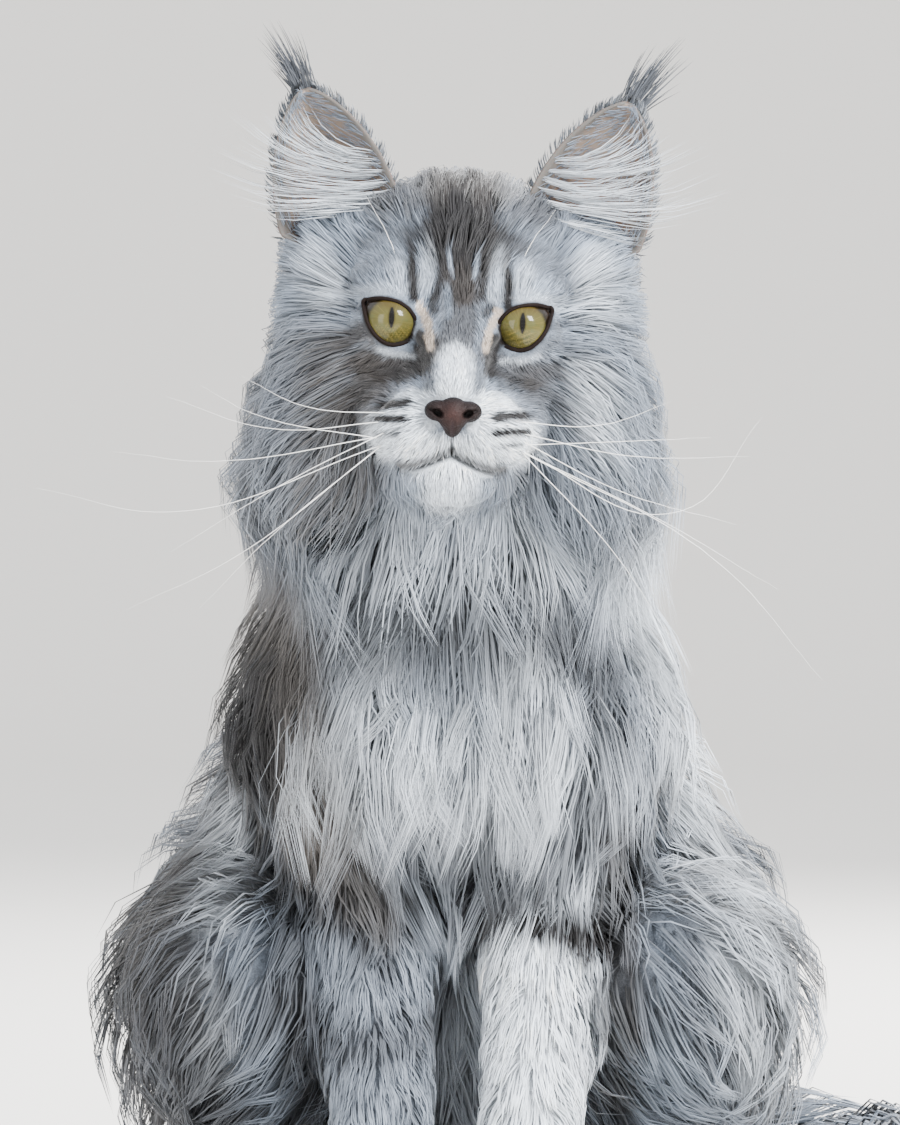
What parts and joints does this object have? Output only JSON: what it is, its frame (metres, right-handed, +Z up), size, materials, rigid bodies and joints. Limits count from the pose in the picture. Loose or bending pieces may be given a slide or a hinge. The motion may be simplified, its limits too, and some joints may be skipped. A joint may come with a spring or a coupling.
{
  "type": "maine coon cat",
  "caption": "Life-size seated long-haired cat facing forward, with tufted ears, a full ruff and bib, heavy britches and a bushy tail laid round one side.",
  "frame": {"origin": "on the floor, under the middle of the figure's bounding box", "axes": "+Z up, the cat faces -Y and its left side is +X"},
  "size_m": [0.3508, 0.4202, 0.4621],
  "materials": {
    "coat": "long silver tabby fur with charcoal bands over a pale ground, matt",
    "ear": "thin furred ear leather, pinkish grey inside, matt",
    "nose_leather": "bare moist skin with a fine pebble grain, satin",
    "eye": "wet clear cornea over an olive yellow-green iris, high gloss"
  },
  "bodies": {
    "root": {"head": "coat", "nose": "nose_leather", "eye_left": "eye", "eye_right": "eye", "ear_left": "ear", "ear_right": "ear", "neck": "coat", "torso": "coat", "foreleg_left": "coat", "foreleg_right": "coat", "forepaw_left": "coat", "forepaw_right": "coat", "haunch_left": "coat", "haunch_right": "coat", "hind_foot_left": "coat", "hind_foot_right": "coat", "tail_base": "coat", "tail_middle": "coat", "tail_end": "coat"}
  },
  "joints": []
}
